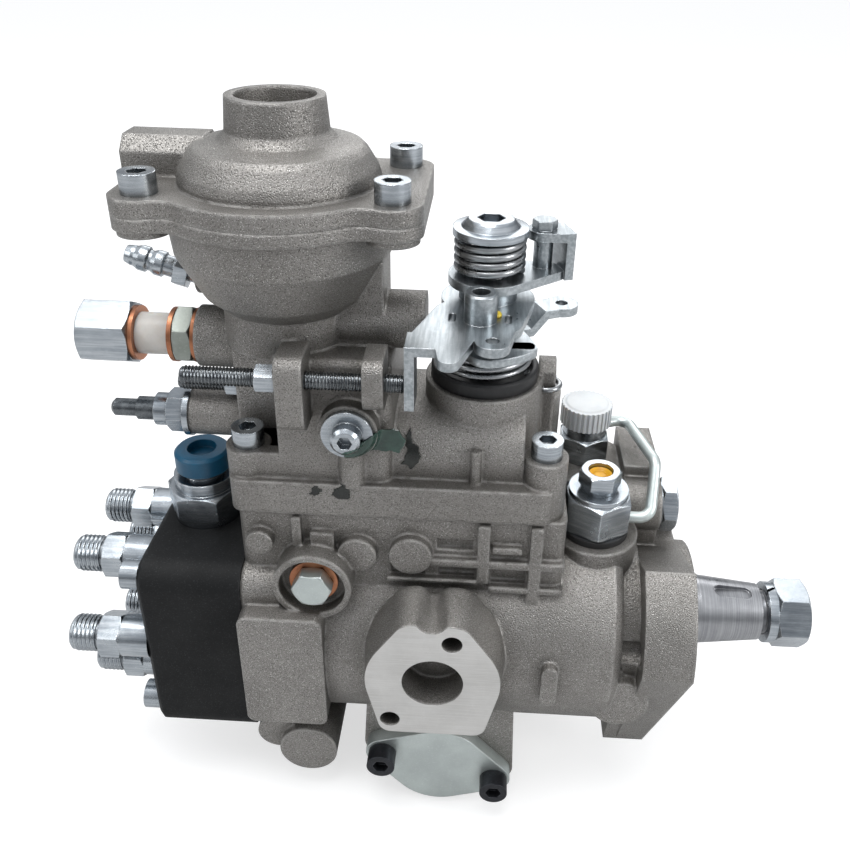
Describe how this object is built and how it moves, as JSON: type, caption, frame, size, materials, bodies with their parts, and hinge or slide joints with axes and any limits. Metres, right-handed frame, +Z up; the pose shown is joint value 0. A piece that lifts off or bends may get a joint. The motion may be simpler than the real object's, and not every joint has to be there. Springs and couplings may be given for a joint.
{
  "type": "diesel injection pump",
  "caption": "Axial distributor diesel injection pump with a mounting flange, tapered drive shaft, boost compensator, throttle levers and threaded outlets on a black head.",
  "frame": {"origin": "centre of the mounting flange's face on the drive shaft's axis", "axes": "+X out of the drive end, +Z up towards the boost compensator, -Y towards the flanged side port"},
  "size_m": [0.2643, 0.095, 0.2495],
  "materials": {
    "cast_aluminium": "blasted casting",
    "zinc_steel": "bright zinc",
    "black_steel": "black phosphate",
    "bright_steel": "turned",
    "hard_steel": "ground",
    "spring_steel": "drawn wire",
    "copper": "satin",
    "black_rubber": "matte",
    "black_plastic": "satin",
    "white_plastic": "satin"
  },
  "bodies": {
    "pump_body": {"housing": "cast_aluminium", "governor_cover": "cast_aluminium", "boost_cover": "cast_aluminium", "cover_screws": "zinc_steel", "short_screws": "zinc_steel", "head_screws": "zinc_steel", "seal_screw": "zinc_steel", "adjusting_screws": "zinc_steel", "lock_nuts": "zinc_steel", "pivot_screws": "zinc_steel", "timer_plates": "zinc_steel", "vent_barb": "zinc_steel", "return_union": "zinc_steel", "head_plug": "zinc_steel", "distributor_head": "black_steel", "solenoid_body": "black_steel", "delivery_valve_holders": "bright_steel", "inlet_union": "bright_steel", "inlet_top_nut": "bright_steel", "overflow_union": "bright_steel", "overflow_cap": "bright_steel", "overflow_tube": "bright_steel", "regulating_valve": "bright_steel", "distributor_barrel": "hard_steel", "vane_pump_stator": "hard_steel", "governor_shaft": "hard_steel", "corrector_lever": "hard_steel", "boost_spring": "spring_steel", "timer_spring": "spring_steel", "plunger_springs": "spring_steel", "governor_spring": "spring_steel", "throttle_spring": "spring_steel", "copper_washers": "copper", "seal_rings": "black_rubber", "diaphragm": "black_rubber", "spring_seat": "black_plastic", "solenoid_cap": "black_plastic", "return_spacer": "white_plastic", "return_cap_nut": "white_plastic"},
    "drive_train": {"drive_shaft": "bright_steel", "drive_nut": "zinc_steel", "spring_washer": "zinc_steel", "drive_gear": "hard_steel", "vane_rotor": "hard_steel", "cam_plate": "hard_steel", "plunger": "hard_steel"},
    "governor_rotor": {"governor_cage": "hard_steel", "flyweights": "hard_steel"},
    "lever": {"governor_lever": "hard_steel"},
    "sleeve": {"governor_sleeve": "hard_steel"},
    "collar": {"control_collar": "hard_steel"},
    "advance_ring": {"roller_ring": "hard_steel"},
    "advance_piston": {"timer_piston": "hard_steel"},
    "throttle": {"throttle_shaft": "bright_steel", "throttle_lever": "zinc_steel", "top_nut": "zinc_steel", "breakover_spring": "spring_steel"},
    "breakover": {"breakover_lever": "zinc_steel"},
    "boost": {"boost_pin": "hard_steel"},
    "stop": {"stop_plunger": "hard_steel"}
  },
  "joints": [
    {"name": "drive_spin", "type": "hinge", "parent": "pump_body", "child": "drive_train", "pos_m": [0, 0, 0], "axis": [1, 0, 0], "continuous": true},
    {"name": "governor_spin", "type": "hinge", "parent": "pump_body", "child": "governor_rotor", "pos_m": [-0.07, 0, 0.04425], "axis": [1, 0, 0], "continuous": true},
    {"name": "lever_swing", "type": "hinge", "parent": "pump_body", "child": "lever", "pos_m": [-0.1264, 0, 0.022], "axis": [0, -1, 0], "range_deg": [0, 8], "stiffness_Nm_per_rad": 2, "deforming": ["governor_spring"]},
    {"name": "sleeve_slide", "type": "slide", "parent": "pump_body", "child": "sleeve", "axis": [-1, 0, 0], "range_m": [0, 0.0031]},
    {"name": "collar_slide", "type": "slide", "parent": "pump_body", "child": "collar", "axis": [1, 0, 0], "range_m": [0, 0.0018]},
    {"name": "advance_turn", "type": "hinge", "parent": "pump_body", "child": "advance_ring", "pos_m": [-0.084, 0, 0], "axis": [1, 0, 0], "range_deg": [0, 8.7], "stiffness_Nm_per_rad": 20},
    {"name": "advance_slide", "type": "slide", "parent": "pump_body", "child": "advance_piston", "axis": [0, 1, 0], "range_m": [0, 0.007], "deforming": ["timer_spring"]},
    {"name": "throttle_turn", "type": "hinge", "parent": "pump_body", "child": "throttle", "pos_m": [-0.0735, 0, 0.1], "axis": [0, 0, 1], "range_deg": [0, 45], "stiffness_Nm_per_rad": 0.5, "deforming": ["throttle_spring"]},
    {"name": "breakover_turn", "type": "hinge", "parent": "throttle", "child": "breakover", "pos_m": [-0.0735, 0, 0.116], "axis": [0, 0, 1], "range_deg": [0, 20], "stiffness_Nm_per_rad": 2},
    {"name": "boost_slide", "type": "slide", "parent": "pump_body", "child": "boost", "axis": [0, 0, -1], "range_m": [0, 0.006], "stiffness_N_per_m": 4000, "deforming": ["diaphragm", "boost_spring"]},
    {"name": "stop_slide", "type": "slide", "parent": "pump_body", "child": "stop", "axis": [0, 0, 1], "range_m": [0, 0.0015], "stiffness_N_per_m": 1500}
  ],
  "couplings": [
    {"joint": "governor_spin", "follows": "drive_spin", "ratio": -1.4583},
    {"joint": "lever_swing", "follows": "sleeve_slide", "rad_per_m": 44.944},
    {"joint": "collar_slide", "follows": "sleeve_slide", "ratio": 0.5618},
    {"joint": "advance_slide", "follows": "advance_turn", "m_per_rad": 0.046}
  ]
}
